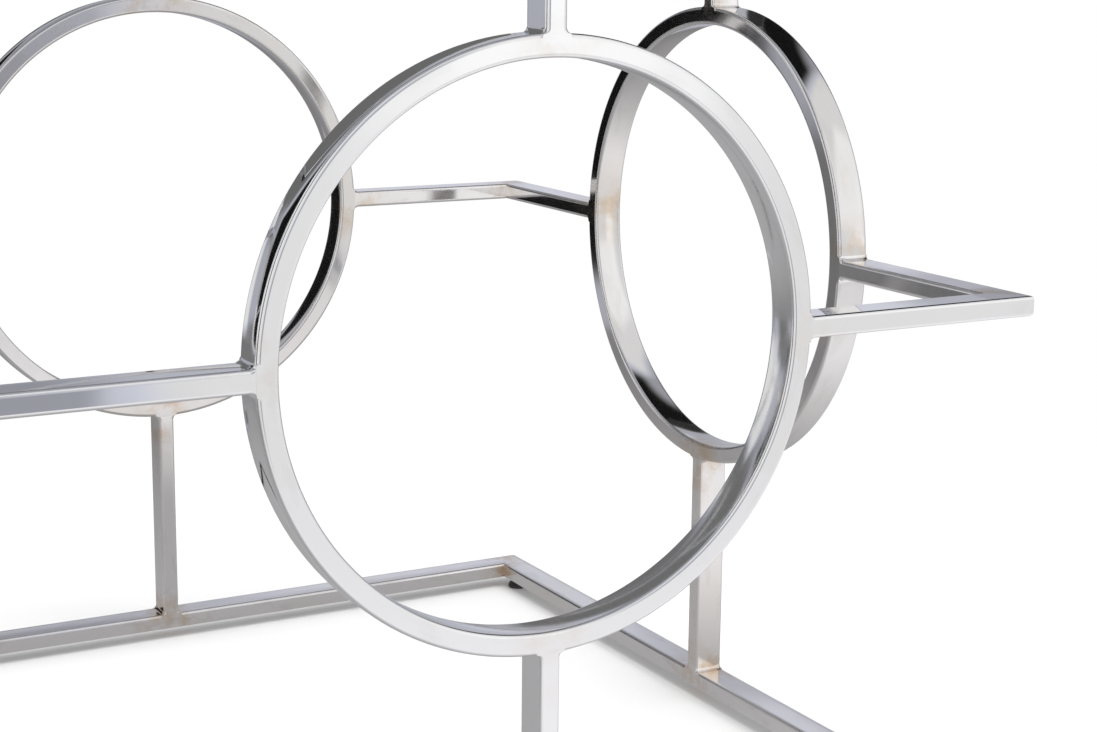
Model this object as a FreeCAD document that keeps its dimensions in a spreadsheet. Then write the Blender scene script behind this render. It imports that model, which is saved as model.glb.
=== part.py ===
import FreeCAD, Part
import math
import os

import Sketcher

# Open frame of rectangular stainless tube: two square hoops of mitred rail, four rings and the bars
# between them.
#
# Millimetres, +Z up, +Y towards the back. The origin is on the floor, under the middle of the
# footprint. Every side of the frame is the same, so each piece is modelled where it lies on the front
# side (the -Y side) and its Placement turns it about Z to its own side.

SIZES = [
    ("overall_width", 635, "outside width of the square plan"),
    ("frame_height", 664, "underside of the bottom rail to the top of the top rail"),
    ("ring_diameter", 320, "outside diameter of a ring"),
    ("tube_face", 12, "narrow side of the tube, seen from outside"),
    ("tube_depth", 22, "wide side of the tube, into the frame"),
    ("tube_wall", 1.2, "wall of the tube"),
    ("tube_corner", 2.2, "outside corner radius of the tube"),
    ("foot_gap", 8, "floor to the underside of the bottom rail, feet screwed in"),
    ("foot_inset", 27, "end of a side rail to the middle of its foot"),
    ("pad_diameter", 16, "foot pad"),
    ("pad_neck", 11, "top of the foot pad, under the insert"),
    ("pad_edge", 2.4, "rounding of the lower edge of the pad"),
    ("pad_band", 1.6, "upright band of the pad above the rounding"),
    ("pad_floor", 2.2, "solid plastic under the stem"),
    ("stem_diameter", 6, "screw stem of the foot"),
    ("stem_reach", 9, "stem above the underside of the rail"),
    ("stem_tip", 0.7, "chamfer at the top of the stem"),
    ("thread_play", 0.08, "clearance between stem and insert, all round"),
    ("seat_play", 0.3, "gap between the pad and the insert's flange, foot screwed in"),
    ("insert_diameter", 9, "threaded insert through the lower wall of the rail"),
    ("insert_height", 7.5, "insert above the underside of the rail"),
    ("insert_flange", 13, "flange of the insert, under the rail"),
    ("flange_height", 0.8, "thickness of that flange"),
    ("cut_margin", 1, "how far a cutting sketch stands off the tube"),
]

SIDES = [("front", 0), ("right", 90), ("back", 180), ("left", 270)]
FOOT_SIDES = [("right", 90), ("left", 270)]

RING_CENTRE = "(sizes.foot_gap + sizes.frame_height / 2)"
RING_RADIUS = "(sizes.ring_diameter / 2)"
HALF_WIDTH = "(sizes.overall_width / 2)"
MID_TUBE = "(sizes.overall_width / 2 - sizes.tube_depth / 2)"
BOTTOM_MIDDLE = "(sizes.foot_gap + sizes.tube_face / 2)"
TOP_MIDDLE = "(sizes.foot_gap + sizes.frame_height - sizes.tube_face / 2)"

doc = FreeCAD.newDocument("ring_frame")
sheet = doc.addObject("Spreadsheet::Sheet", "sizes")
for row, (alias, number, note) in enumerate(SIZES, start=1):
    sheet.set(f"A{row}", alias)
    sheet.set(f"B{row}", str(number))
    sheet.set(f"C{row}", note)
    sheet.setAlias(f"B{row}", alias)
doc.recompute()

parts = []


def value(expression):
    """The number that an expression in the sheet's aliases stands for now."""
    result = sheet.evalExpression(expression)
    return float(getattr(result, "Value", result))


def new_body(name):
    body = doc.addObject("PartDesign::Body", name)
    body.Label = name
    parts.append(body)
    return body


def new_sketch(body, name, plane, across="0", up="0", out="0"):
    """A sketch on one of the body's own planes, its origin moved by three expressions."""
    sketch = body.newObject("Sketcher::SketchObject", f"{body.Name}_{name}")
    face = next(item for item in body.Origin.OriginFeatures if item.Role == plane)
    sketch.AttachmentSupport = [(face, "")]
    sketch.MapMode = "FlatFace"
    for axis, expression in (("x", across), ("y", up), ("z", out)):
        sketch.setExpression(f"AttachmentOffset.Base.{axis}", expression)
    return sketch


def drive(sketch, constraint, name, expression):
    """Add a dimension to the sketch and bind it to the sheet."""
    index = sketch.addConstraint(constraint)
    sketch.renameConstraint(index, name)
    sketch.setExpression(f"Constraints.{name}", expression)


def draw_polygon(sketch, corners):
    """Closed outline of straight lines; every corner is a pair of expressions from the sketch's origin."""
    points = [FreeCAD.Vector(value(x), value(y), 0) for x, y in corners]
    count = len(points)
    lines = []
    for index in range(count):
        line = Part.LineSegment(points[index], points[(index + 1) % count])
        lines.append(sketch.addGeometry(line, False))
    for index in range(count):
        after = lines[(index + 1) % count]
        sketch.addConstraint(Sketcher.Constraint("Coincident", lines[index], 2, after, 1))
    for index, (x, y) in enumerate(corners):
        side_on = Sketcher.Constraint("DistanceX", -1, 1, lines[index], 1, points[index].x)
        drive(sketch, side_on, f"corner_{index}_across", x)
        upright = Sketcher.Constraint("DistanceY", -1, 1, lines[index], 1, points[index].y)
        drive(sketch, upright, f"corner_{index}_up", y)


def draw_rounded_loop(sketch, name, across, up, radius):
    """Rectangle with four equal round corners, centred on the sketch's origin."""
    half_across, half_up, corner = value(across) / 2, value(up) / 2, value(radius)
    quarter = math.pi / 2
    spots = [(1, 1), (-1, 1), (-1, -1), (1, -1)]
    arcs = []
    for turn, (side_x, side_y) in enumerate(spots):
        centre = FreeCAD.Vector(side_x * (half_across - corner), side_y * (half_up - corner), 0)
        circle = Part.Circle(centre, FreeCAD.Vector(0, 0, 1), corner)
        arc = Part.ArcOfCircle(circle, turn * quarter, (turn + 1) * quarter)
        arcs.append(sketch.addGeometry(arc, False))
    lines = []
    for turn in range(4):
        start = sketch.getPoint(arcs[turn], 2)
        end = sketch.getPoint(arcs[(turn + 1) % 4], 1)
        lines.append(sketch.addGeometry(Part.LineSegment(start, end), False))
    for turn in range(4):
        after = arcs[(turn + 1) % 4]
        sketch.addConstraint(Sketcher.Constraint("Tangent", arcs[turn], 2, lines[turn], 1))
        sketch.addConstraint(Sketcher.Constraint("Tangent", lines[turn], 2, after, 1))
        direction = "Vertical" if turn % 2 else "Horizontal"
        sketch.addConstraint(Sketcher.Constraint(direction, lines[turn]))
    for turn in (1, 2, 3):
        sketch.addConstraint(Sketcher.Constraint("Equal", arcs[0], arcs[turn]))
    sketch.addConstraint(Sketcher.Constraint("Symmetric", arcs[0], 3, arcs[2], 3, -1, 1))
    width = Sketcher.Constraint("DistanceX", lines[1], 1, lines[3], 1, 2 * half_across)
    drive(sketch, width, f"{name}_across", across)
    height = Sketcher.Constraint("DistanceY", lines[2], 1, lines[0], 1, 2 * half_up)
    drive(sketch, height, f"{name}_up", up)
    drive(sketch, Sketcher.Constraint("Radius", arcs[0], corner), f"{name}_corner", radius)


def draw_tube_section(sketch, across, up):
    """Section of the tube, outside and bore, from the names of the two sizes it shows."""
    wall = "sizes.tube_wall"
    draw_rounded_loop(sketch, "outside", f"sizes.{across}", f"sizes.{up}", "sizes.tube_corner")
    inner = f"sizes.{across} - 2 * {wall}", f"sizes.{up} - 2 * {wall}"
    draw_rounded_loop(sketch, "bore", inner[0], inner[1], f"sizes.tube_corner - {wall}")


def pad(body, sketch, length):
    """Carry a section along the sketch's normal."""
    feature = body.newObject("PartDesign::Pad", f"{body.Name}_pad")
    feature.Profile = sketch
    feature.setExpression("Length", length)
    doc.recompute()


def cut(body, sketch, length, name):
    """Pocket against the sketch's normal; it has to take material away."""
    before = body.Shape.Volume
    feature = body.newObject("PartDesign::Pocket", f"{body.Name}_{name}")
    feature.Profile = sketch
    feature.setExpression("Length", length)
    doc.recompute()
    if not body.Shape.Volume < before:
        raise RuntimeError(f"{feature.Name} removes nothing")


def turn_to_side(body, angle):
    """The whole Placement of a piece: a turn about the upright axis through the origin."""
    turn = FreeCAD.Rotation(FreeCAD.Vector(0, 0, 1), angle)
    body.Placement = FreeCAD.Placement(FreeCAD.Vector(0, 0, 0), turn)


def cut_mitre(body, hand, middle):
    """Take off one end of a rail at 45 degrees; hand is 1 at the +X end and -1 at the other.

    The sketch's origin is the outer corner of the hoop, and the slanted side runs through it.
    """
    side = "right" if hand > 0 else "left"
    top = f"{middle} + sizes.tube_face / 2 + sizes.cut_margin"
    corner_x = f"{hand} * {HALF_WIDTH}"
    sketch = new_sketch(body, f"mitre_{side}", "XY_Plane", corner_x, f"-{HALF_WIDTH}", top)
    beyond = "(sizes.tube_depth + sizes.cut_margin)"
    corners = [
        (f"{hand} * sizes.cut_margin", "-sizes.cut_margin"),
        (f"{hand} * sizes.cut_margin", beyond),
        (f"-{hand} * {beyond}", beyond),
    ]
    draw_polygon(sketch, corners)
    cut(body, sketch, "sizes.tube_face + 2 * sizes.cut_margin", f"mitre_cut_{side}")


def draw_circle(sketch, name, radius):
    """Circle about the sketch's origin, its radius bound to the sheet."""
    edge = Part.Circle(FreeCAD.Vector(0, 0, 0), FreeCAD.Vector(0, 0, 1), value(radius))
    circle = sketch.addGeometry(edge, False)
    sketch.addConstraint(Sketcher.Constraint("Coincident", circle, 3, -1, 1))
    drive(sketch, Sketcher.Constraint("Radius", circle, value(radius)), name, radius)


def cut_cope(body):
    """Hollow the end of a bar to the outside of its ring: a disc of the ring's size, through the tube."""
    out = f"{HALF_WIDTH} + sizes.cut_margin"
    sketch = new_sketch(body, "cope", "XZ_Plane", "0", RING_CENTRE, out)
    draw_circle(sketch, "ring_outside", RING_RADIUS)
    cut(body, sketch, "sizes.tube_depth + 2 * sizes.cut_margin", "cope_cut")


def make_rail(name, middle, angle, with_feet=False):
    """Rail of a square hoop along X, mitred at both ends; middle is the height of its centre line."""
    body = new_body(name)
    section = new_sketch(body, "section", "YZ_Plane", f"-{MID_TUBE}", middle, f"-{HALF_WIDTH}")
    draw_tube_section(section, "tube_depth", "tube_face")
    pad(body, section, "sizes.overall_width")
    for hand in (1, -1):
        cut_mitre(body, hand, middle)
        if with_feet:
            cut_insert_hole(body, hand)
    turn_to_side(body, angle)


def cut_insert_hole(body, hand):
    """Round hole through the lower wall of a bottom rail, for a threaded insert."""
    side = "right" if hand > 0 else "left"
    across = f"{hand} * ({HALF_WIDTH} - sizes.foot_inset)"
    inside = "sizes.foot_gap + sizes.tube_wall + sizes.cut_margin"
    sketch = new_sketch(body, f"insert_hole_{side}", "XY_Plane", across, f"-{MID_TUBE}", inside)
    draw_circle(sketch, "hole", "sizes.insert_diameter / 2")
    cut(body, sketch, "sizes.tube_wall + 2 * sizes.cut_margin", f"insert_hole_cut_{side}")


def make_ring(name, angle):
    """Tube rolled into a full circle round an axis along Y, its wide side lying along that axis."""
    body = new_body(name)
    up = f"{RING_CENTRE} + {RING_RADIUS} - sizes.tube_face / 2"
    section = new_sketch(body, "section", "YZ_Plane", f"-{MID_TUBE}", up)
    draw_tube_section(section, "tube_depth", "tube_face")
    drop = f"{RING_RADIUS} - sizes.tube_face / 2"
    reach = value("sizes.tube_depth")
    ends = [FreeCAD.Vector(side * reach, -value(drop), 0) for side in (-1, 1)]
    axis = section.addGeometry(Part.LineSegment(ends[0], ends[1]), True)
    section.addConstraint(Sketcher.Constraint("Horizontal", axis))
    depth_below = Sketcher.Constraint("DistanceY", axis, 1, -1, 1, value(drop))
    drive(section, depth_below, "axis_drop", drop)
    start = Sketcher.Constraint("DistanceX", axis, 1, -1, 1, reach)
    drive(section, start, "axis_start", "sizes.tube_depth")
    end = Sketcher.Constraint("DistanceX", -1, 1, axis, 2, reach)
    drive(section, end, "axis_end", "sizes.tube_depth")
    feature = body.newObject("PartDesign::Revolution", f"{name}_turn")
    feature.Profile = section
    feature.ReferenceAxis = (section, ["Axis0"])
    feature.Angle = 360
    doc.recompute()
    turn_to_side(body, angle)


def make_post(name, angle, upper):
    """Upright bar between a ring and the rail below it, or above it when upper is true."""
    body = new_body(name)
    start = "sizes.foot_gap + sizes.tube_face"
    if upper:
        start = f"{RING_CENTRE} + {RING_RADIUS} - sizes.tube_face / 2"
    section = new_sketch(body, "section", "XY_Plane", "0", f"-{MID_TUBE}", start)
    draw_tube_section(section, "tube_face", "tube_depth")
    clear = f"sizes.frame_height / 2 - {RING_RADIUS} - sizes.tube_face"
    pad(body, section, f"{clear} + sizes.tube_face / 2")
    cut_cope(body)
    turn_to_side(body, angle)


def make_arm(name, angle, hand):
    """Level bar from the side of a ring to a corner of the frame, coped at one end, mitred at the other."""
    body = new_body(name)
    length = f"({HALF_WIDTH} - {RING_RADIUS} + sizes.tube_face / 2)"
    start = f"{HALF_WIDTH} - {length}" if hand > 0 else f"-{HALF_WIDTH}"
    section = new_sketch(body, "section", "YZ_Plane", f"-{MID_TUBE}", RING_CENTRE, start)
    draw_tube_section(section, "tube_depth", "tube_face")
    pad(body, section, length)
    cut_cope(body)
    cut_mitre(body, hand, RING_CENTRE)
    turn_to_side(body, angle)


def revolve(body, sketch):
    """Turn a profile full circle about the sketch's vertical axis."""
    feature = body.newObject("PartDesign::Revolution", f"{body.Name}_turn")
    feature.Profile = sketch
    feature.ReferenceAxis = (sketch, ["V_Axis"])
    feature.Angle = 360
    doc.recompute()
    return feature


def foot_sketch(body, hand, up="0"):
    """Upright sketch whose vertical axis is the axis of a foot of the front side's rail."""
    across = f"{hand} * ({HALF_WIDTH} - sizes.foot_inset)"
    return new_sketch(body, "section", "XZ_Plane", across, up, MID_TUBE)


def make_pad(name, angle, hand):
    """Plastic pad: rounded lower edge, short upright band, cone up to its neck, and a bore for the stem."""
    body = new_body(name)
    sketch = foot_sketch(body, hand)
    radius, edge, band = "sizes.pad_diameter / 2", "sizes.pad_edge", "sizes.pad_band"
    bore, top = "sizes.stem_diameter / 2", "sizes.foot_gap - sizes.flange_height - sizes.seat_play"
    draw_polygon(sketch, [
        ("0", "0"),
        (radius, "0"),
        (radius, f"{edge} + {band}"),
        ("sizes.pad_neck / 2", top),
        (bore, top),
        (bore, "sizes.pad_floor"),
        ("0", "sizes.pad_floor"),
    ])
    turned = revolve(body, sketch)
    heights = [rim.BoundBox.ZMax for rim in turned.Shape.Edges]
    lowest = heights.index(min(heights)) + 1
    fillet = body.newObject("PartDesign::Fillet", f"{name}_edge")
    fillet.Base = (turned, [f"Edge{lowest}"])
    fillet.setExpression("Radius", edge)
    doc.recompute()
    turn_to_side(body, angle)


def make_stem(name, angle, hand):
    """Screw stem of a foot: its lower end sits in the pad, its upper end has a chamfer."""
    body = new_body(name)
    sketch = foot_sketch(body, hand)
    radius, tip, top = "sizes.stem_diameter / 2", "sizes.stem_tip", "sizes.foot_gap + sizes.stem_reach"
    draw_polygon(sketch, [
        ("0", "sizes.pad_floor"),
        (radius, "sizes.pad_floor"),
        (radius, f"{top} - {tip}"),
        (f"{radius} - {tip}", top),
        ("0", top),
    ])
    revolve(body, sketch)
    turn_to_side(body, angle)


def make_insert(name, angle, hand):
    """Threaded insert set in the lower wall of a rail: a flange under the wall and a sleeve above it."""
    body = new_body(name)
    sketch = foot_sketch(body, hand)
    bore = "sizes.stem_diameter / 2 + sizes.thread_play"
    low, top = "sizes.foot_gap - sizes.flange_height", "sizes.foot_gap + sizes.insert_height"
    draw_polygon(sketch, [
        (bore, low),
        ("sizes.insert_flange / 2", low),
        ("sizes.insert_flange / 2", "sizes.foot_gap"),
        ("sizes.insert_diameter / 2", "sizes.foot_gap"),
        ("sizes.insert_diameter / 2", top),
        (bore, top),
    ])
    revolve(body, sketch)
    turn_to_side(body, angle)


for side, angle in SIDES:
    has_feet = (side, angle) in FOOT_SIDES
    make_rail(f"bottom_rail_{side}", BOTTOM_MIDDLE, angle, has_feet)
    make_rail(f"top_rail_{side}", TOP_MIDDLE, angle)
    make_ring(f"ring_{side}", angle)
    make_post(f"lower_post_{side}", angle, upper=False)
    make_post(f"upper_post_{side}", angle, upper=True)
    for hand, end in ((1, "b"), (-1, "a")):
        make_arm(f"middle_arm_{side}_{end}", angle, hand)

for side, angle in FOOT_SIDES:
    for hand in (1, -1):
        is_back = (side == "right") == (hand > 0)
        corner = f"{'back' if is_back else 'front'}_{side}"
        make_pad(f"foot_pad_{corner}", angle, hand)
        make_stem(f"foot_stem_{corner}", angle, hand)
        make_insert(f"foot_insert_{corner}", angle, hand)

doc.recompute()

for item in doc.Objects:
    if {"Invalid", "Error"} & set(item.State):
        raise RuntimeError(f"{item.Label} did not build: {item.State}")

os.makedirs("parts", exist_ok=True)
for body in parts:
    shape = body.Shape
    if shape.isNull() or not shape.isValid() or len(shape.Solids) != 1:
        raise RuntimeError(f"{body.Label} is not one valid solid")
    shape.exportStep(f"parts/{body.Label}.step")
    box = shape.BoundBox
    low = f"{box.XMin:8.1f} {box.YMin:8.1f} {box.ZMin:8.1f}"
    high = f"{box.XMax:8.1f} {box.YMax:8.1f} {box.ZMax:8.1f}"
    print(f"{body.Label:26s} {shape.Volume:10.0f} mm3  {low}  {high}")
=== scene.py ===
"""Looks of a square stand of polished rectangular tube, with a rolled ring in the middle of each side.

Metres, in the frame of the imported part: +Z up, origin on the floor under the middle of the footprint.
Every side is alike, so a piece is worked out on the front side (towards -Y) and turned about Z.
On that side a bar has two cross directions: "face", along the narrow side of the tube that is seen from
outside, and "depth", into the frame along the wide side.
"""
import math

import bpy
import numpy as np
from mathutils import Matrix, Vector


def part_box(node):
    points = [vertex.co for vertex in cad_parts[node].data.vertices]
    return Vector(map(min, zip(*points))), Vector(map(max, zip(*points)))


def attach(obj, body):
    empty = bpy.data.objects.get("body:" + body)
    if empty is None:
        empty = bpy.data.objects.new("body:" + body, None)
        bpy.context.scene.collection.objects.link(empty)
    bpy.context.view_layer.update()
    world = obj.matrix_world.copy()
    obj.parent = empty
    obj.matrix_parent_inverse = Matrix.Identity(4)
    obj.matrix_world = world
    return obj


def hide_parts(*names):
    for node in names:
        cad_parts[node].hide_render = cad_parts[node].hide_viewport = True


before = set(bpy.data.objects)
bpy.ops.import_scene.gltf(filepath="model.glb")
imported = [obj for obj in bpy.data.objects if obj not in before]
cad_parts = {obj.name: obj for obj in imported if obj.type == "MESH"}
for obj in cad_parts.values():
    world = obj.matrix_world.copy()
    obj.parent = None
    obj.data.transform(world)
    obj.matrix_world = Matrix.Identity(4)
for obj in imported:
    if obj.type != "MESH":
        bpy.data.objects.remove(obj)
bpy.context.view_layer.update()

MM = 0.001
SIDES = {"front": 0, "right": 90, "back": 180, "left": 270}

# ---------------------------------------------------------------- sizes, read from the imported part
rail_low, rail_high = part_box("bottom_rail_front")
top_low, top_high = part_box("top_rail_front")
post_low, post_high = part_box("lower_post_front")
WIDTH = rail_high.x - rail_low.x
FACE = rail_high.z - rail_low.z
DEPTH = rail_high.y - rail_low.y
MIDDLE_Y = (rail_high.y + rail_low.y) / 2
CENTRE_Z = (rail_low.z + top_high.z) / 2
ring_points = np.array([v.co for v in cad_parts["ring_front"].data.vertices])
RING = float(np.hypot(ring_points[:, 0], ring_points[:, 2] - CENTRE_Z).max())

RING_RISE = CENTRE_Z - (rail_low.z + rail_high.z) / 2  # ring centres above the middle of the bottom rails
# a post is measured along its middle, where it meets the ring sooner than at its edges
POST_LENGTH = post_high.z - post_low.z - (RING - math.sqrt(RING ** 2 - (FACE / 2) ** 2))

CORNER = 2.2 * MM          # outside corner radius of the tube
SMALLEST_CORNER = 0.03 * MM  # where the corner is filled flush
FILLET = 2.6 * MM          # weld fillet in the inside corner of a joint
CREST = 0.5 * MM           # rounding of the outer upright edge of a mitred corner
REACH = FACE / 2 + FILLET  # from the middle of a joint to the toe of its weld
DISH = 0.12 * MM           # how far the wide walls of a straight tube sink in the middle
ROLLED_DISH = 0.55 * MM    # the same where the tube is rolled into a ring
DISH_FADE = 14 * MM        # length over which the dish dies out beside a joint
RIPPLE = 0.05 * MM         # height and pitch of the ripple of a weld seam
RIPPLE_PITCH = 1.5 * MM
LUMP = 0.42 * MM           # height of the lump at either end of a seam, its width and its place
LUMP_WIDTH = 1.0 * MM
LUMP_INSET = 2.0 * MM
SHARP_EDGE = math.radians(38)


# ---------------------------------------------------------------- meshes
def turned(points, degrees):
    """Points turned about the Z axis."""
    angle = math.radians(degrees)
    x = points[..., 0] * math.cos(angle) - points[..., 1] * math.sin(angle)
    y = points[..., 0] * math.sin(angle) + points[..., 1] * math.cos(angle)
    return np.stack([x, y, points[..., 2]], axis=-1)


def grid_mesh(name, points, closed_rows, uv=None, capped=True):
    """Mesh of a grid of points: columns always close, rows close into a ring or end in flat caps."""
    rows, columns = points.shape[:2]
    spans = rows if closed_rows else rows - 1
    row = np.arange(spans)[:, None]
    column = np.arange(columns)[None, :]
    after_row = (row + 1) % rows
    after_column = (column + 1) % columns
    quads = np.stack([
        row * columns + column, row * columns + after_column,
        after_row * columns + after_column, after_row * columns + column,
    ], axis=-1)
    faces = quads.reshape(-1, 4).tolist()
    if capped and not closed_rows:
        faces.append(list(range(columns))[::-1])
        faces.append([(rows - 1) * columns + i for i in range(columns)])
    mesh = bpy.data.meshes.new(name)
    mesh.from_pydata(points.reshape(-1, 3).tolist(), [], faces)
    if uv is not None:
        lay_uv(mesh, uv, columns, spans)
    mesh.validate()
    turn_outwards(mesh)
    mesh.polygons.foreach_set("use_smooth", np.ones(len(mesh.polygons), bool))
    mesh.set_sharp_from_angle(angle=SHARP_EDGE)
    mesh.update()
    piece = bpy.data.objects.new(name, mesh)
    bpy.context.scene.collection.objects.link(piece)
    return piece


def lay_uv(mesh, uv, columns, spans):
    """UV map in metres: u runs along the piece and v round its section, each with its own closing edge."""
    along, around = uv
    row = np.repeat(np.arange(spans), columns)
    column = np.tile(np.arange(columns), spans)
    u = np.stack([along[row], along[row], along[row + 1], along[row + 1]], axis=-1)
    v = np.stack([around[column], around[column + 1], around[column + 1], around[column]], axis=-1)
    layer = mesh.uv_layers.new(name="along_piece")
    values = np.zeros((len(mesh.loops), 2), np.float32)
    values[:u.size, 0] = u.ravel()
    values[:v.size, 1] = v.ravel()
    layer.data.foreach_set("uv", values.ravel())


def turn_outwards(mesh):
    """Flip every face if the closed mesh holds a negative volume."""
    mesh.calc_loop_triangles()
    triangles = np.zeros(len(mesh.loop_triangles) * 3, np.int32)
    mesh.loop_triangles.foreach_get("vertices", triangles)
    points = np.zeros(len(mesh.vertices) * 3, np.float32)
    mesh.vertices.foreach_get("co", points)
    a, b, c = points.reshape(-1, 3)[triangles].reshape(-1, 3, 3).transpose(1, 0, 2)
    if np.einsum("ij,ij->i", a, np.cross(b, c)).sum() < 0:
        mesh.flip_normals()


ARC_STEPS = 6
# places of the points across the flats; the outermost keep the flats' shading level up to the corners
DEPTH_STOPS = np.array([0.004, 0.12, 0.25, 0.38, 0.5, 0.62, 0.75, 0.88, 0.996])
FACE_STOPS = np.array([0.008, 0.35, 0.65, 0.992])


def section(half_face, half_depth, corner, dish_out, dish_in):
    """Points round a rectangle with round corners, for many rows at once.

    half_face is one number a row and corner four numbers a row, in the order (+face +depth),
    (-face +depth), (-face -depth), (+face -depth). Each corner is a quarter circle about a centre that
    stands its radius inside both sides, and the flats between share a few fixed stops. The wide walls
    sink by the dish times one less the square of the place across them: dish_out on the +face wall.
    """
    signs = [(1, 1), (-1, 1), (-1, -1), (1, -1)]
    turns = np.linspace(0, math.pi / 2, ARC_STEPS + 1)
    face_parts, depth_parts = [], []
    arcs = []
    for k, (side_face, side_depth) in enumerate(signs):
        radius = corner[:, k:k + 1]
        centre_face = side_face * (half_face[:, None] - radius)
        centre_depth = side_depth * (half_depth - radius)
        angle = turns[None, :] + k * math.pi / 2
        arcs.append((centre_face + radius * np.cos(angle), centre_depth + radius * np.sin(angle)))
    for k in range(4):
        face_parts.append(arcs[k][0])
        depth_parts.append(arcs[k][1])
        after = arcs[(k + 1) % 4]
        stops = (FACE_STOPS if k % 2 == 0 else DEPTH_STOPS)[None, :]
        for parts, part in ((face_parts, 0), (depth_parts, 1)):
            start, end = arcs[k][part][:, -1:], after[part][:, :1]
            parts.append(start + (end - start) * stops)
    face, depth = np.hstack(face_parts), np.hstack(depth_parts)
    sink = np.clip(1 - (depth / (half_depth - CORNER)) ** 2, 0, 1)
    dish = np.where(face > 0, np.reshape(dish_out, (-1, 1)), np.reshape(dish_in, (-1, 1)))
    return face - np.sign(face) * dish * sink, depth


def around_section(face, depth):
    """Distance round the section at every column, with one more for the closing edge."""
    face_step = np.diff(np.append(face, face[0]))
    depth_step = np.diff(np.append(depth, depth[0]))
    return np.append(0, np.cumsum(np.hypot(face_step, depth_step)))


def toe_corner(distance):
    """Corner radius of a tube beside a welded joint, by the distance from the joint's middle.

    Under the bar the edge is filled flush, so the radius is nought. Beyond it follows the round edge
    of the bar's own fillet, R - sqrt(R^2 - s^2), and reaches the full radius at the toe of the weld.
    """
    past = np.clip(np.abs(distance) - (REACH - CORNER), 0, CORNER)
    return np.maximum(CORNER - np.sqrt(CORNER ** 2 - past ** 2), SMALLEST_CORNER)


def fade_in(distance):
    """Nought at a welded joint and one well away from it, along a cosine."""
    share = np.clip((np.abs(distance) - REACH) / DISH_FADE, 0, 1)
    return 0.5 - 0.5 * np.cos(math.pi * share)


def fillet_rows():
    """Distances from the neighbour's surface, and the widening there: a concave quarter circle."""
    turns = np.linspace(0, math.pi / 2, 9)
    return FILLET * (1 - np.cos(turns)), FILLET * (1 - np.sin(turns))


def weld_swell(face, depth, nearness):
    """Small lumps of weld metal in the fillet: a sine ripple along the seam, a bell curve near each end.

    Both die out over the last part of the seam, so that the tube's outer sides stay flush.
    """
    edge = DEPTH / 2 - np.abs(depth)
    ripple = RIPPLE * np.sin(2 * math.pi * depth / RIPPLE_PITCH)
    lump = LUMP * np.exp(-((edge - LUMP_INSET) / LUMP_WIDTH) ** 2)
    flat = np.clip(edge / (0.8 * MM), 0, 1)
    return np.sign(face) * (ripple + lump) * nearness * flat


def bar_grid(start_joint, end_joint, extra_rows):
    """Rows of a straight bar: their distances from either end, the rows between and the half width of all.

    A welded end widens in a fillet; a mitred end gets rows for its crest. extra_rows are places along
    the bar, in its own coordinate, where the tube changes.
    """
    near, widening = fillet_rows()
    crest_rows = np.array([0, 0.1, 0.2, 0.35, 0.5, 0.9, 2.0]) * MM

    def end_rows(is_joint):
        if is_joint:
            return np.append(near, FILLET + np.array([0.6, 3.0]) * MM), np.append(widening, [0, 0])
        return crest_rows, np.zeros(len(crest_rows))

    first, first_wide = end_rows(start_joint)
    last, last_wide = end_rows(end_joint)
    extra = np.asarray(extra_rows, float)
    half_face = FACE / 2 + np.concatenate([first_wide, np.zeros(len(extra)), last_wide[::-1]])
    return first, last[::-1], extra, half_face


def ring_line(face):
    """Where the outside of the ring stands, across from its centre, for a height above or below it."""
    return np.sqrt(RING ** 2 - face ** 2)


def mitre_line(depth):
    """Where the 45 degree cut stands along a front bar, for a depth from the middle of the tube."""
    return WIDTH / 2 - (depth + DEPTH / 2)


def round_crest(along, depth):
    """Turn the sharp outer upright edge of a mitred end into a small round of radius CREST.

    Points within CREST of the cut move onto the arc; the move fades out over the corner of the tube.
    """
    from_cut = mitre_line(depth) - along
    share = np.clip(from_cut / CREST, 0, 1) * math.pi / 4
    inside = CREST * (1 - np.sin(math.pi / 4 + share))
    along_move = from_cut - CREST * (1 - np.cos(math.pi / 4 + share))
    outer = np.clip(1 - (depth + DEPTH / 2) / CORNER, 0, 1)
    close = (from_cut < CREST) * outer
    return along + along_move * close, depth + inside * close


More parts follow.
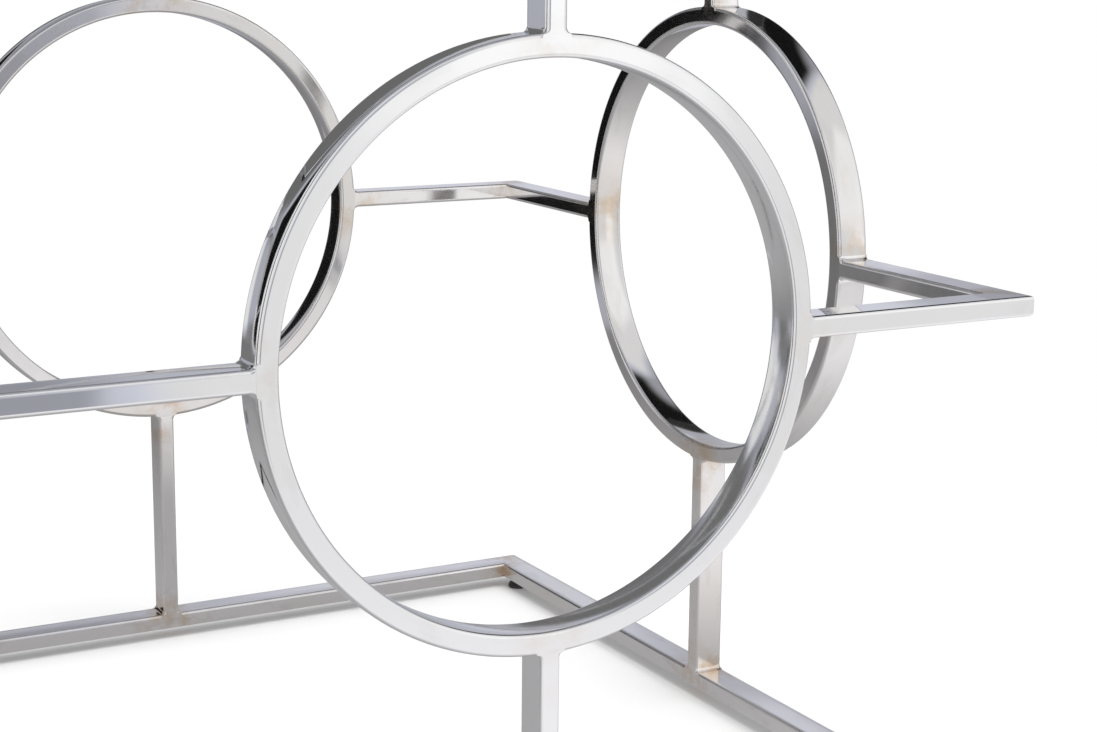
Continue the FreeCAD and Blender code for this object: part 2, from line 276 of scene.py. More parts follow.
def bar(kind, joint_side=None, mirrored=False):
    """Points, rows and section lengths of a bar of the front side, before its height and side are set.

    kind is "rail" (mitred at both ends, a post joined at its middle on joint_side, +1 above or -1
    below), "arm" (ring to mitre) or "post" (rail to ring). The rows are found for the end lines of that
    kind: an end's rows keep their distance from its line, and the rows between stand where they are given.
    """
    start_joint = kind in ("arm", "post")
    end_joint = kind == "post"
    extra = ()
    if kind == "rail":
        toe = np.linspace(REACH - CORNER, REACH, 8) / MM
        beside = np.concatenate([[0, 3, 5], toe, [10, 14, 18, 23]]) * MM
        extra = np.concatenate([-beside[::-1], beside[1:]])
    first, last, extra, half_face = bar_grid(start_joint, end_joint, extra)
    rows = len(half_face)
    corner = np.full((rows, 4), CORNER)
    plain = np.full(rows, DISH)
    at_joint = plain.copy()
    if kind == "rail":
        between = slice(len(first), len(first) + len(extra))
        for k in ([0, 3] if joint_side == 1 else [1, 2]):
            corner[between, k] = toe_corner(extra)
        at_joint[between] = DISH * fade_in(extra)
    dishes = (at_joint, plain) if joint_side == 1 else (plain, at_joint)
    face, depth = section(half_face, DEPTH / 2, corner, *dishes)
    if kind == "rail":
        low, high = -mitre_line(depth), mitre_line(depth)
    elif kind == "arm":
        low, high = ring_line(face), mitre_line(depth)
    else:
        low, high = np.zeros_like(face), POST_LENGTH + RING - ring_line(face)
    along = np.empty_like(face)
    n, m = len(first), len(last)
    along[:n] = low[:n] + first[:, None]
    along[n:rows - m] = extra[:, None]
    along[rows - m:] = high[rows - m:] - last[:, None]
    nearness = np.zeros(rows)
    hump = np.sin(fillet_rows()[0] / FILLET * math.pi).clip(0, 1) ** 0.5
    if start_joint:
        nearness[:len(hump)] = hump
    if end_joint:
        nearness[rows - len(hump):] = hump[::-1]
    face = face + weld_swell(face, depth, nearness[:, None]) * (np.abs(face) > half_face[:, None] * 0.97)
    if kind in ("rail", "arm"):
        end = slice(rows - m, rows)
        along[end], depth[end] = round_crest(along[end], depth[end])
    if kind == "rail":
        end = slice(0, n)
        opposite, depth[end] = round_crest(-along[end], depth[end])
        along[end] = -opposite
    if mirrored:
        along = -along
    lengths = along[:, 0].copy()
    middle = rows // 2
    return along, face, depth, np.abs(lengths - lengths[0]), around_section(face[middle], depth[middle])


def level_points(along, face, depth, height):
    """A bar that lies along X."""
    return np.stack([along, MIDDLE_Y + depth, height + face], axis=-1)


def upright_points(along, face, depth, foot, direction):
    """A bar that stands along Z, upwards or, with direction -1, downwards from its foot."""
    return np.stack([face, MIDDLE_Y + depth, foot + direction * along], axis=-1)


def add_tube(name, points, closed_rows, uv, finish):
    dress(grid_mesh(name + "_tube", points, closed_rows, uv), name, "frame", finish)


def make_rail(name, side, height, joint_side, finish):
    along, face, depth, lengths, around = bar("rail", joint_side)
    points = turned(level_points(along, face, depth, height), SIDES[side])
    add_tube(name, points, False, (lengths, around), finish)


def make_arm(name, side, hand, finish):
    along, face, depth, lengths, around = bar("arm", mirrored=hand < 0)
    points = turned(level_points(along, face, depth, CENTRE_Z), SIDES[side])
    add_tube(name, points, False, (lengths, around), finish)


def make_post(name, side, upper, finish):
    along, face, depth, lengths, around = bar("post")
    foot, direction = (top_low.z, -1) if upper else (rail_high.z, 1)
    points = turned(upright_points(along, face, depth, foot, direction), SIDES[side])
    add_tube(name, points, False, (lengths, around), finish)


def make_ring(name, side, finish):
    """Tube carried round a circle: x is r times the cosine of the turn and z is r times its sine.

    r is the radius to the middle of the tube plus the section's face. The two outer edges of the tube are
    filled flush under the four bars that join it.
    """
    toe = np.degrees(np.arcsin(np.linspace(REACH - CORNER, REACH, 8) / RING))
    beside = np.concatenate([[0, 1.1, 1.9], toe, toe[-1:] + 0.5])
    quarter = np.concatenate([-beside[:0:-1], beside, np.arange(5, 86, 1.0)])
    turns = np.radians(np.sort(np.add.outer([0, 90, 180, 270], quarter).ravel()))
    off = RING * np.minimum(np.abs(np.sin(turns)), np.abs(np.cos(turns)))
    inside = np.full(len(turns), CORNER)
    outside = toe_corner(off)
    corner = np.stack([outside, inside, inside, outside], axis=-1)
    rolled = np.full(len(turns), ROLLED_DISH)
    half_face = np.full(len(turns), FACE / 2)
    face, depth = section(half_face, DEPTH / 2, corner, rolled * fade_in(off), rolled)
    radius = RING - FACE / 2 + face
    x = radius * np.cos(turns)[:, None]
    z = CENTRE_Z + radius * np.sin(turns)[:, None]
    points = turned(np.stack([x, MIDDLE_Y + depth, z], axis=-1), SIDES[side])
    lengths = np.append(turns, turns[0] + 2 * math.pi) * RING
    middle = len(turns) // 8
    around = around_section(face[middle], depth[middle])
    add_tube(name, points, True, (lengths, around), finish)


def dress(piece, node, body, finish):
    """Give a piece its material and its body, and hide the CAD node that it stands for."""
    piece.data.materials.append(finish)
    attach(piece, body)
    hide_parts(node)


# ---------------------------------------------------------------- shader helpers
def new_group(name, inputs, outputs):
    """Empty node group that takes vectors and gives numbers, with those names."""
    group = bpy.data.node_groups.new(name, "ShaderNodeTree")
    for label in inputs:
        group.interface.new_socket(label, in_out="INPUT", socket_type="NodeSocketVector")
    for label in outputs:
        group.interface.new_socket(label, in_out="OUTPUT", socket_type="NodeSocketFloat")
    return group, group.nodes.new("NodeGroupInput"), group.nodes.new("NodeGroupOutput")


def math_node(tree, operation, first, second=None, third=None):
    node = tree.nodes.new("ShaderNodeMath")
    node.operation = operation
    for socket, item in zip(node.inputs, (first, second, third)):
        feed(tree, socket, item)
    return node.outputs[0]


def feed(tree, socket, item):
    """Link a socket or set its value."""
    if item is None:
        return
    if isinstance(item, bpy.types.NodeSocket):
        tree.links.new(item, socket)
    else:
        socket.default_value = item


def noise(tree, vector, scale, detail=3.0, roughness=0.5):
    node = tree.nodes.new("ShaderNodeTexNoise")
    feed(tree, node.inputs["Vector"], vector)
    node.inputs["Scale"].default_value = scale
    node.inputs["Detail"].default_value = detail
    node.inputs["Roughness"].default_value = roughness
    return node.outputs["Fac"]


def span(tree, item, low, high, to_low=0.0, to_high=1.0):
    """Smooth step from low to high."""
    node = tree.nodes.new("ShaderNodeMapRange")
    node.interpolation_type = "SMOOTHSTEP"
    feed(tree, node.inputs["Value"], item)
    for label, number in (("From Min", low), ("From Max", high), ("To Min", to_low), ("To Max", to_high)):
        node.inputs[label].default_value = number
    return node.outputs["Result"]


def blend_colour(tree, factor, first, second):
    node = tree.nodes.new("ShaderNodeMix")
    node.data_type = "RGBA"
    feed(tree, node.inputs[0], factor)
    feed(tree, node.inputs[6], first)
    feed(tree, node.inputs[7], second)
    return node.outputs[2]


def mix_shaders(tree, factor, first, second):
    node = tree.nodes.new("ShaderNodeMixShader")
    feed(tree, node.inputs[0], factor)
    tree.links.new(first, node.inputs[1])
    tree.links.new(second, node.inputs[2])
    return node.outputs[0]


def split(tree, vector):
    """The three parts of a vector."""
    node = tree.nodes.new("ShaderNodeSeparateXYZ")
    tree.links.new(vector, node.inputs[0])
    return node.outputs


def place(tree, group):
    """Put a node group into a tree."""
    node = tree.nodes.new("ShaderNodeGroup")
    node.node_tree = group
    return node


def stretch(tree, vector, scale):
    node = tree.nodes.new("ShaderNodeMapping")
    feed(tree, node.inputs["Vector"], vector)
    node.inputs["Scale"].default_value = scale
    return node.outputs[0]


def colour(red, green, blue):
    return red, green, blue, 1.0


PALE, PALE_FILM = colour(0.89, 0.89, 0.90), colour(0.86, 0.85, 0.83)
# The next two tones and their films are darker, warmer copies of the same steel for the right and back
# sides: painted shade, not another metal.
SHADED_TONE, SHADED_FILM = colour(0.88, 0.87, 0.87), colour(0.87, 0.83, 0.79)
SHADED_RING_TONE, SHADED_RING_FILM = colour(0.79, 0.78, 0.78), colour(0.79, 0.75, 0.71)
SMEAR_GREY = colour(0.66, 0.63, 0.60)
STRAW = colour(0.70, 0.55, 0.40)
ZINC, YELLOWED_ZINC = colour(0.60, 0.62, 0.65), colour(0.66, 0.64, 0.56)
HEAT_CORE, HEAT_REACH = 6 * MM, 40 * MM  # full strength of a heat mark, and its end, from the joint
HEAT_HAZE = 0.08                         # roughness that a heat mark adds, and that the tube's corners add
CORNER_HAZE = 0.13
HAIR_HEIGHT = 0.0009                     # hair lines, as a share of the waver of the flats


def build_weld_heat():
    """Mask of the heat marks round the welds, from Object coordinates.

    The four sides and the upper and lower halves fold onto one quarter: across is the smaller of |x| and
    |y| and rise is the height from the ring centres. Each mark fades with the distance from a joint.
    """
    group, source, result = new_group("weld_heat", ["Object"], ["Heat"])
    x, y, z = split(group, source.outputs["Object"])
    across = math_node(group, "MINIMUM", math_node(group, "ABSOLUTE", x), math_node(group, "ABSOLUTE", y))
    rise = math_node(group, "ABSOLUTE", math_node(group, "SUBTRACT", z, CENTRE_Z))
    spots = [(RING, 0.0), (0.0, RING), (0.0, RING_RISE), (-MIDDLE_Y, 0.0), (-MIDDLE_Y, RING_RISE)]
    nearest = None
    for spot_across, spot_rise in spots:
        off_across = math_node(group, "SUBTRACT", across, spot_across)
        off_rise = math_node(group, "SUBTRACT", rise, spot_rise)
        squares = math_node(group, "ADD", math_node(group, "POWER", off_across, 2.0),
                            math_node(group, "POWER", off_rise, 2.0))
        distance = math_node(group, "SQRT", squares)
        nearest = distance if nearest is None else math_node(group, "MINIMUM", nearest, distance)
    patches = noise(group, source.outputs["Object"], 38.0, 4.0, 0.6)
    close = span(group, nearest, HEAT_REACH, HEAT_CORE)
    heat = math_node(group, "MULTIPLY", close, span(group, patches, 0.42, 0.68))
    group.links.new(heat, result.inputs["Heat"])
    return group


def build_polish_marks():
    """Height and haze of a buffed surface: hair lines along the piece and a slow waver of the flats."""
    group, source, result = new_group("polish_marks", ["Along", "Object"], ["Haze", "Height"])
    hair = noise(group, stretch(group, source.outputs["Along"], (14.0, 2600.0, 1.0)), 1.0, 4.0, 0.6)
    swirl = noise(group, source.outputs["Object"], 90.0, 5.0, 0.6)
    haze = math_node(group, "MULTIPLY_ADD", hair, 0.5, math_node(group, "MULTIPLY", swirl, 0.5))
    waver = noise(group, source.outputs["Object"], 16.0, 1.0, 0.4)
    height = math_node(group, "MULTIPLY_ADD", hair, HAIR_HEIGHT, waver)
    group.links.new(haze, result.inputs["Haze"])
    group.links.new(height, result.inputs["Height"])
    return group


def build_buffing_clouds():
    """Masks of a buffed surface: a broad film, and clouds drawn out along the piece."""
    group, source, result = new_group("buffing_clouds", ["Along", "Object"], ["Film", "Cloud"])
    film = noise(group, source.outputs["Object"], 7.0, 2.0, 0.5)
    cloud = noise(group, stretch(group, source.outputs["Along"], (26.0, 75.0, 1.0)), 1.0, 4.0, 0.6)
    group.links.new(span(group, film, 0.35, 0.75), result.inputs["Film"])
    group.links.new(span(group, cloud, 0.50, 0.72), result.inputs["Cloud"])
    return group


def build_tube_walls():
    """Masks of the tube's walls, from the distance round its section.

    That distance runs over a corner, a narrow flat, a corner and a wide flat, and then the same again.
    Corner is one on all four corners. Inner is one on the first wide flat, which in a ring faces its
    middle; it fades beyond the flat's edges.
    """
    group, source, result = new_group("tube_walls", ["Along"], ["Corner", "Inner"])
    around = split(group, source.outputs["Along"])[1]
    arc = math.pi / 2 * CORNER
    narrow, wide = FACE - 2 * CORNER, DEPTH - 2 * CORNER
    soft = 0.3 * MM
    in_half = math_node(group, "MODULO", around, 2 * arc + narrow + wide)
    first = span(group, in_half, arc + soft, arc - soft)
    second = math_node(group, "MULTIPLY", span(group, in_half, arc + narrow - soft, arc + narrow + soft),
                       span(group, in_half, 2 * arc + narrow + soft, 2 * arc + narrow - soft))
    group.links.new(math_node(group, "ADD", first, second), result.inputs["Corner"])
    start = 2 * arc + narrow
    inner = math_node(group, "MULTIPLY", span(group, around, start - MM, start + MM),
                      span(group, around, start + wide + MM, start + wide - MM))
    group.links.new(inner, result.inputs["Inner"])
    return group


def steel_finish(name, tone, film_tone, film, straw, smear, haze, inner_haze=0.0):
    """Mirror-polished stainless: near-white metal, soft haze, and straw tint in patches beside the welds.

    film, straw and smear are the shares of the film, of the weld tint and of the grey clouds; haze is the
    least and the greatest roughness. inner_haze dulls the wall that faces the middle of a ring, which the
    polishing wheel hardly reaches.
    """
    material = bpy.data.materials.new(name)
    material.use_nodes = True
    tree = material.node_tree
    shader = tree.nodes["Principled BSDF"]
    where = tree.nodes.new("ShaderNodeTexCoord").outputs
    groups = (weld_heat, polish_marks, buffing_clouds, tube_walls)
    heat, marks, clouds, walls = (place(tree, group) for group in groups)
    for node in (heat, marks, clouds, walls):
        for socket in node.inputs:
            tree.links.new(where["UV" if socket.name == "Along" else "Object"], socket)

    base = blend_colour(tree, math_node(tree, "MULTIPLY", clouds.outputs["Film"], film), tone, film_tone)
    base = blend_colour(tree, math_node(tree, "MULTIPLY", clouds.outputs["Cloud"], smear), base, SMEAR_GREY)
    tint = math_node(tree, "MULTIPLY", heat.outputs["Heat"], straw)
    tree.links.new(blend_colour(tree, tint, base, STRAW), shader.inputs["Base Color"])

    rough = span(tree, marks.outputs["Haze"], 0.3, 0.7, *haze)
    rough = math_node(tree, "MULTIPLY_ADD", heat.outputs["Heat"], HEAT_HAZE, rough)
    rough = math_node(tree, "MULTIPLY_ADD", walls.outputs["Corner"], CORNER_HAZE, rough)
    if inner_haze:
        grain = span(tree, noise(tree, where["Object"], 900.0, 3.0, 0.7), 0.25, 0.75,
                     0.5 * inner_haze, 1.5 * inner_haze)
        rough = math_node(tree, "ADD", rough, math_node(tree, "MULTIPLY", walls.outputs["Inner"], grain))
    tree.links.new(rough, shader.inputs["Roughness"])
    shader.inputs["Metallic"].default_value = 1.0
    add_bump(tree, shader, marks.outputs["Height"], 0.35 * MM)
    return material


def plastic_finish():
    """Black moulded plastic: fine spark texture, faint flow shading, paler scuffs towards the floor."""
    material = bpy.data.materials.new("pad_plastic")
    material.use_nodes = True
    tree = material.node_tree
    shader = tree.nodes["Principled BSDF"]
    where = tree.nodes.new("ShaderNodeTexCoord")
    height = split(tree, where.outputs["Object"])[2]
    grain = noise(tree, where.outputs["Object"], 2600.0, 3.0, 0.6)
    flow = noise(tree, where.outputs["Object"], 160.0, 2.0, 0.5)
    rubbed = noise(tree, where.outputs["Object"], 700.0, 4.0, 0.7)
    low = span(tree, height, 3.0 * MM, 0.4 * MM)
    scuff = math_node(tree, "MULTIPLY", low, span(tree, rubbed, 0.5, 0.7))
    base = blend_colour(tree, flow, colour(0.012, 0.012, 0.013), colour(0.030, 0.030, 0.031))
    worn = blend_colour(tree, math_node(tree, "MULTIPLY", scuff, 0.6), base, colour(0.13, 0.13, 0.13))
    tree.links.new(worn, shader.inputs["Base Color"])
    tree.links.new(span(tree, grain, 0.3, 0.7, 0.42, 0.62), shader.inputs["Roughness"])
    add_bump(tree, shader, grain, 0.05 * MM)
    return material


def plating_finish():
    """Zinc-plated steel: bluish grey, slightly yellow clouds, crystalline haze and fine turning lines."""
    material = bpy.data.materials.new("plated_steel")
    material.use_nodes = True
    tree = material.node_tree
    shader = tree.nodes["Principled BSDF"]
    where = tree.nodes.new("ShaderNodeTexCoord")
    cloud = noise(tree, where.outputs["Object"], 240.0, 3.0, 0.6)
    base = blend_colour(tree, span(tree, cloud, 0.4, 0.7), ZINC, YELLOWED_ZINC)
    tree.links.new(base, shader.inputs["Base Color"])
    crystals = noise(tree, where.outputs["Object"], 1500.0, 4.0, 0.7)
    tree.links.new(span(tree, crystals, 0.3, 0.7, 0.22, 0.42), shader.inputs["Roughness"])
    shader.inputs["Metallic"].default_value = 1.0
    turning = noise(tree, stretch(tree, where.outputs["UV"], (9000.0, 60.0, 1.0)), 1.0, 2.0, 0.5)
    add_bump(tree, shader, turning, 0.02 * MM)
    return material


def add_bump(tree, shader, height, distance):
    bump = tree.nodes.new("ShaderNodeBump")
    bump.inputs["Distance"].default_value = distance
    tree.links.new(height, bump.inputs["Height"])
    tree.links.new(bump.outputs["Normal"], shader.inputs["Normal"])


weld_heat = build_weld_heat()
polish_marks = build_polish_marks()
buffing_clouds = build_buffing_clouds()
tube_walls = build_tube_walls()
plain_steel = steel_finish(
    "polished_steel", PALE, PALE_FILM, film=0.3, straw=0.12, smear=0.0, haze=(0.02, 0.06))
# The two copies below are the same steel for the right and back sides. Their darker, warmer base and their
# stronger film, cloud and weld tint are painted shade; the film, clouds and weld tint themselves are real
# marks.
shaded_steel = steel_finish(
    "polished_steel_painted_shade", SHADED_TONE, SHADED_FILM, film=0.8, straw=0.8, smear=0.34, haze=(0.06, 0.13))
ring_steel = steel_finish(
    "polished_ring_steel", PALE, PALE_FILM, film=0.3, straw=0.2, smear=0.16, haze=(0.03, 0.08),
    inner_haze=0.07)
shaded_ring_steel = steel_finish(
    "polished_ring_steel_painted_shade", SHADED_RING_TONE, SHADED_RING_FILM, film=0.8, straw=0.85, smear=0.34, haze=(0.05, 0.10),
    inner_haze=0.015)
pad_plastic = plastic_finish()
plated_steel = plating_finish()


# ---------------------------------------------------------------- the frame of tubes
for side in SIDES:
    # The right and back sides take the darker, warmer copies of the steel: painted shade.
    shaded_side = side in ("right", "back")
    bar_steel = shaded_steel if shaded_side else plain_steel
    round_steel = shaded_ring_steel if shaded_side else ring_steel
    make_rail(f"bottom_rail_{side}", side, (rail_low.z + rail_high.z) / 2, 1, bar_steel)
    make_rail(f"top_rail_{side}", side, (top_low.z + top_high.z) / 2, -1, bar_steel)
    make_ring(f"ring_{side}", side, round_steel)
    make_post(f"lower_post_{side}", side, False, bar_steel)
    make_post(f"upper_post_{side}", side, True, bar_steel)
    make_arm(f"middle_arm_{side}_b", side, 1, bar_steel)
    make_arm(f"middle_arm_{side}_a", side, -1, bar_steel)


# ---------------------------------------------------------------- the screw feet
def turned_piece(name, profile, centre, columns=64):
    """Closed solid of revolution: each (radius, height) of the profile is carried round the centre."""
    radius, height = np.array(profile).T
    angle = np.linspace(0, 2 * math.pi, columns + 1)[:-1]
    x = centre[0] + radius[:, None] * np.cos(angle)
    y = centre[1] + radius[:, None] * np.sin(angle)
    points = np.stack([x, y, np.repeat(height[:, None], columns, axis=1)], axis=-1)
    lengths = np.append(0, np.cumsum(np.hypot(np.diff(radius), np.diff(height))))
    around = np.append(angle, 2 * math.pi) * radius.max()
    return grid_mesh(name, points, False, (lengths, around))


def rounded(corners, radius, steps=5):
    """Profile through the given corners, with each one but the first and last turned into a short arc.

    The arc leaves the straight runs at the radius from the corner and bends as a quadratic Bezier curve.
    """
    corners = np.array(corners, float)
    points = [corners[0]]
    t = np.linspace(0, 1, steps)[:, None]
    for before, here, after in zip(corners, corners[1:], corners[2:]):
        start = here + (before - here) * min(radius / np.linalg.norm(before - here), 0.45)
        end = here + (after - here) * min(radius / np.linalg.norm(after - here), 0.45)
        points.extend((1 - t) ** 2 * start + 2 * t * (1 - t) * here + t ** 2 * end)
    points.append(corners[-1])
    return np.array(points)


def make_pad(corner, centre, low, high):
    """Moulded foot pad: flat sole with a groove, upright rim, cone up to a neck."""
    rim = (high.x - low.x) / 2
    tall = high.z - low.z
    neck = rim * 0.69
    groove = low.z + 0.5 * MM
    sole = [(rim * 0.30, groove), (rim * 0.55, groove), (rim * 0.60, low.z), (rim * 0.96, low.z)]
    band = [(rim, groove), (rim, low.z + tall * 0.30), (rim * 0.95, low.z + tall * 0.42)]
    cone = [(neck * 1.03, low.z + tall * 0.86), (neck * 0.98, high.z), (rim * 0.42, high.z)]
    profile = rounded(sole + band + cone, 0.45 * MM)
    pad = turned_piece(f"foot_pad_{corner}_moulded", profile, centre)
    dress(pad, f"foot_pad_{corner}", f"foot_{corner}", pad_plastic)


def make_stem(corner, centre, low, high):
    """Threaded stem: the radius follows a rounded triangle wave of height less turn over the pitch."""
    radius = (high.x - low.x) / 2
    pitch = 1.0 * MM
    height = np.arange(low.z, high.z + 1e-7, pitch / 8)
    angle = np.linspace(0, 2 * math.pi, 41)[:-1]
    wave = (height[:, None] / pitch - angle[None, :] / (2 * math.pi)) % 1.0
    groove = 0.42 * MM * (1 - np.clip(np.abs(2 * wave - 1) * 1.35, 0, 1))
    from_end = np.minimum(height - low.z, high.z - height)[:, None]
    lead = np.clip(0.7 * MM - from_end, 0, None)
    r = np.minimum(radius - groove, radius - lead)
    points = np.stack([centre[0] + r * np.cos(angle), centre[1] + r * np.sin(angle),
                       np.broadcast_to(height[:, None], r.shape)], axis=-1)
    around = np.append(angle, 2 * math.pi) * radius
    stem = grid_mesh(f"foot_stem_{corner}_threaded", points, False, (height, around))
    dress(stem, f"foot_stem_{corner}", f"foot_{corner}", plated_steel)


def make_insert(corner, centre, low, high):
    """Threaded insert: thin flange under the rail and a barrel up into it, its bore closed at the top."""
    flange = (high.x - low.x) / 2
    bore = 3.1 * MM
    edge = low.z + 0.8 * MM
    profile = rounded([
        (bore, high.z), (bore, low.z + 0.3 * MM), (bore + 0.4 * MM, low.z), (flange, low.z),
        (flange, edge), (flange * 0.69, edge), (flange * 0.69, high.z), (bore, high.z),
    ], 0.22 * MM)
    insert = turned_piece(f"foot_insert_{corner}_pressed", profile, centre, 56)
    dress(insert, f"foot_insert_{corner}", "frame", plated_steel)


for corner in ("front_left", "front_right", "back_right", "back_left"):
    for kind, make in (("pad", make_pad), ("stem", make_stem), ("insert", make_insert)):
        low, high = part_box(f"foot_{kind}_{corner}")
        middle = ((low.x + high.x) / 2, (low.y + high.y) / 2)
        make(corner, middle, low, high)


# ---------------------------------------------------------------- camera, floor and light
def aim_camera():
    """Camera from its place, the turn and tilt of its view, and a small roll, all in degrees."""
    turn, tilt, roll = (math.radians(a) for a in (29.043, -11.648, 0.609))
    ahead = Vector((math.sin(turn) * math.cos(tilt), math.cos(turn) * math.cos(tilt), math.sin(tilt)))
    level = Vector((math.cos(turn), -math.sin(turn), 0))
    above = level.cross(ahead)
    right = math.cos(roll) * level + math.sin(roll) * above
    up = math.cos(roll) * above - math.sin(roll) * level
    data = bpy.data.cameras.new("camera")
    data.lens = 68.43
    data.sensor_width = 36
    data.clip_start = 0.05
    camera = bpy.data.objects.new("camera", data)
    turn_matrix = Matrix((right, up, -ahead)).transposed().to_4x4()
    camera.matrix_world = Matrix.Translation((-0.5043, -1.2200, 0.5465)) @ turn_matrix
    bpy.context.scene.collection.objects.link(camera)
    bpy.context.scene.camera = camera


WHITE = colour(1.0, 1.0, 1.0)
COOL = colour(0.955, 0.975, 1.09)
FLOOR_RADIUS = 1.35
FLOOR_SIDES = 96


def make_floor():
    """Pale floor disc: lit like paper to the eye, plain white towards its rim, and grey in reflections.

    The grey rises towards the front right, where the studio is bright.
    """
    steps = np.arange(FLOOR_SIDES) * 2 * math.pi / FLOOR_SIDES
    rim = np.stack([np.cos(steps), np.sin(steps), np.zeros(FLOOR_SIDES)], axis=-1) * FLOOR_RADIUS
    mesh = bpy.data.meshes.new("floor")
    mesh.from_pydata(rim.tolist(), [], [list(range(FLOOR_SIDES))])
    floor = bpy.data.objects.new("floor", mesh)
    bpy.context.scene.collection.objects.link(floor)
    material = bpy.data.materials.new("floor_pale")
    material.use_nodes = True
    tree = material.node_tree
    shader = tree.nodes["Principled BSDF"]
    shader.inputs["Base Color"].default_value = colour(0.78, 0.78, 0.78)
    shader.inputs["Roughness"].default_value = 0.9
    shader.inputs["Specular IOR Level"].default_value = 0.1
    where = tree.nodes.new("ShaderNodeTexCoord").outputs["Object"]
    x, y = split(tree, where)[:2]
    length = tree.nodes.new("ShaderNodeVectorMath")
    length.operation = "LENGTH"
    tree.links.new(where, length.inputs[0])
    radius = length.outputs["Value"]
    white = tree.nodes.new("ShaderNodeEmission")
    seen = mix_shaders(tree, span(tree, radius, 0.6, 1.25), shader.outputs[0], white.outputs[0])

    forward = math_node(tree, "SUBTRACT", math_node(tree, "MULTIPLY", x, 0.55),
                        math_node(tree, "MULTIPLY", y, 0.83))
    near = span(tree, radius, 1.2, 0.3, 0.26, 0.42)
    mirror = tree.nodes.new("ShaderNodeEmission")
    tree.links.new(math_node(tree, "MULTIPLY_ADD", span(tree, forward, 0.12, 0.65), 0.60, near),
                   mirror.inputs["Strength"])
    mirror.inputs["Color"].default_value = colour(0.995, 0.985, 1.0)
    path = tree.nodes.new("ShaderNodeLightPath")
    final = mix_shaders(tree, path.outputs["Is Camera Ray"], mirror.outputs[0], seen)
    tree.links.new(final, tree.nodes["Material Output"].inputs["Surface"])
    mesh.materials.append(material)


# Panels of the studio, each laid over the ones before: from and to across, from and to upwards, softness of
# the upright and of the level edges, and the grey. Round the room they are in degrees of azimuth (from the
# back, turning to the right) and elevation; on the wall behind the object they are in metres.
ROOM_GREY, WALL_GREY = 0.45, 0.50
ROOM_PANELS = [
    (-135, 225, 52, 95, 1, 7, 0.40),
    (92, 225, 38, 66, 8, 6, 0.82),
    (92, 147, -95, 42, 4, 8, 0.82),
    (146, 155, -95, 42, 3, 8, 0.97),
    (153, 163, -95, 42, 3, 8, 0.82),
    (147, 156, -6, 42, 3, 3, 1.08),
    (125, 152, 6, 46, 5, 4, 1.02),
    (163.4, 190, -95, -2, 0.6, 4, 0.36),
    (190, 225, -95, 50, 6, 8, 0.85),
    (-135, -37, -95, 46, 1, 8, 0.95),
    (-112, -84, -95, 60, 4, 8, 0.12),
    (-37, 26, 40, 60, 2, 3, 0.16),
    (39, 92, -95, 26, 1, 5, 0.38),
    (30, 86, 27, 58, 5, 6, 0.007),
]
WALL_PANELS = [
    (-3.10, 1.95, 0.96, 1.80, 0.05, 0.05, 0.15),
    (-0.15, 0.35, -0.60, 0.42, 0.06, 0.06, 0.28),
    (-1.35, -0.85, -0.60, 1.05, 0.08, 0.08, 0.32),
    (-3.10, -1.22, 0.02, 1.25, 0.08, 0.10, 0.80),
    (-1.45, -0.85, -0.60, 0.22, 0.10, 0.08, 0.15),
    (-1.12, -0.80, -0.10, 0.24, 0.06, 0.05, 0.19),
    (-1.20, -0.78, 0.27, 0.80, 0.06, 0.06, 0.45),
    (-0.79, -0.08, 0.04, 0.88, 0.04, 0.03, 0.007),
    (1.15, 1.95, 0.90, 1.22, 0.05, 0.04, 0.48),
    (1.30, 1.95, 0.30, 0.86, 0.08, 0.04, 0.48),
    (1.42, 1.70, 0.60, 0.86, 0.06, 0.04, 0.68),
    (0.55, 1.20, 0.40, 0.60, 0.10, 0.04, 0.68),
    (-0.04, 0.30, 0.62, 0.84, 0.09, 0.04, 0.31),
    (1.25, 1.95, 1.25, 1.80, 0.05, 0.05, 0.03),
]


def lay_panels(tree, across, up, ground, panels):
    """Grey of a place: the last panel that holds it, each with soft edges over the ones before."""
    grey = ground
    for left, right, low, high, soft_across, soft_up, tone in panels:
        beside = math_node(tree, "MULTIPLY", span(tree, across, left - soft_across, left + soft_across),
                           span(tree, across, right - soft_across, right + soft_across, 1.0, 0.0))
        level = math_node(tree, "MULTIPLY", span(tree, up, low - soft_up, low + soft_up),
                          span(tree, up, high - soft_up, high + soft_up, 1.0, 0.0))
        panel = tree.nodes.new("ShaderNodeMix")
        feed(tree, panel.inputs[0], math_node(tree, "MULTIPLY", beside, level))
        feed(tree, panel.inputs[2], grey)
        feed(tree, panel.inputs[3], tone)
        grey = panel.outputs[0]
    return grey


def cast_of(tree, grey):
    """Colour cast of a panel: middle greys are cool, black and white are neutral."""
    middle = math_node(tree, "MULTIPLY", span(tree, grey, 0.16, 0.30), span(tree, grey, 0.78, 0.70))
    return blend_colour(tree, middle, WHITE, COOL)


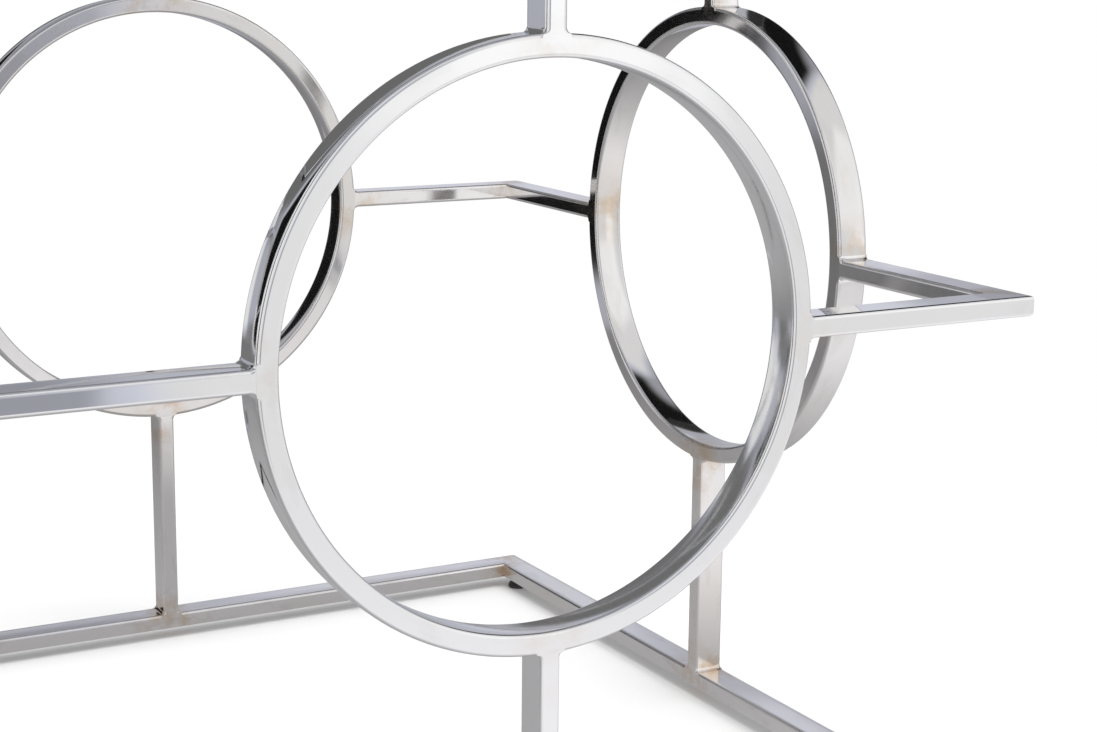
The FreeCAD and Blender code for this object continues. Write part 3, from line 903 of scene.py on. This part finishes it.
def make_world():
    """Studio all round: plain white to the eye and for soft light, and a room of panels in reflections."""
    world = bpy.data.worlds.new("studio")
    bpy.context.scene.world = world
    world.use_nodes = True
    tree = world.node_tree
    background = tree.nodes["Background"]
    where = tree.nodes.new("ShaderNodeTexCoord")
    # turned so that the azimuth jumps from 225 to -135 degrees at the front left, where two panels meet
    turn = tree.nodes.new("ShaderNodeMapping")
    turn.inputs["Rotation"].default_value = (0, 0, math.radians(45))
    tree.links.new(where.outputs["Generated"], turn.inputs["Vector"])
    x, y, z = split(tree, turn.outputs[0])
    azimuth = math_node(tree, "MULTIPLY_ADD", math_node(tree, "ARCTAN2", x, y), 180 / math.pi, 45.0)
    elevation = math_node(tree, "MULTIPLY", math_node(tree, "ARCSINE", z), 180 / math.pi)
    grey = lay_panels(tree, azimuth, elevation, ROOM_GREY, ROOM_PANELS)
    path = tree.nodes.new("ShaderNodeLightPath")
    glossy = path.outputs["Is Glossy Ray"]
    tree.links.new(blend_colour(tree, glossy, WHITE, cast_of(tree, grey)), background.inputs["Color"])
    strength = math_node(tree, "MULTIPLY_ADD", glossy, math_node(tree, "SUBTRACT", grey, 1.0), 1.0)
    tree.links.new(strength, background.inputs["Strength"])


def make_wall():
    """Wall behind the object that only its reflections show."""
    mesh = bpy.data.meshes.new("studio_wall")
    left, right, low, high, away = -3.1, 1.85, -0.6, 1.8, 1.5
    corners = [(left, away, low), (right, away, low), (right, away, high), (left, away, high)]
    mesh.from_pydata(corners, [], [(0, 1, 2, 3)])
    wall = bpy.data.objects.new("studio_wall", mesh)
    bpy.context.scene.collection.objects.link(wall)
    material = bpy.data.materials.new("wall_panels")
    material.use_nodes = True
    tree = material.node_tree
    x, _, z = split(tree, tree.nodes.new("ShaderNodeTexCoord").outputs["Object"])
    grey = lay_panels(tree, x, z, WALL_GREY, WALL_PANELS)
    light = tree.nodes.new("ShaderNodeEmission")
    tree.links.new(cast_of(tree, grey), light.inputs["Color"])
    tree.links.new(grey, light.inputs["Strength"])
    tree.links.new(light.outputs[0], tree.nodes["Material Output"].inputs["Surface"])
    mesh.materials.append(material)
    wall.visible_camera = False
    wall.visible_diffuse = False
    wall.visible_shadow = False
    wall.visible_transmission = False


def make_lamp(name, place_at, size, power, aim):
    data = bpy.data.lights.new(name, "AREA")
    data.shape = "RECTANGLE"
    data.size, data.size_y = size
    data.energy = power
    lamp = bpy.data.objects.new(name, data)
    direction = Vector(aim) - Vector(place_at)
    aimed = direction.to_track_quat("-Z", "Y").to_matrix().to_4x4()
    lamp.matrix_world = Matrix.Translation(place_at) @ aimed
    lamp.visible_glossy = False
    bpy.context.scene.collection.objects.link(lamp)


aim_camera()
make_floor()
make_world()
make_wall()
make_lamp("top_softbox", (0.4, -0.3, 2.2), (1.8, 1.8), 35, (0, 0, 0.3))
bpy.context.scene.view_settings.view_transform = "Standard"
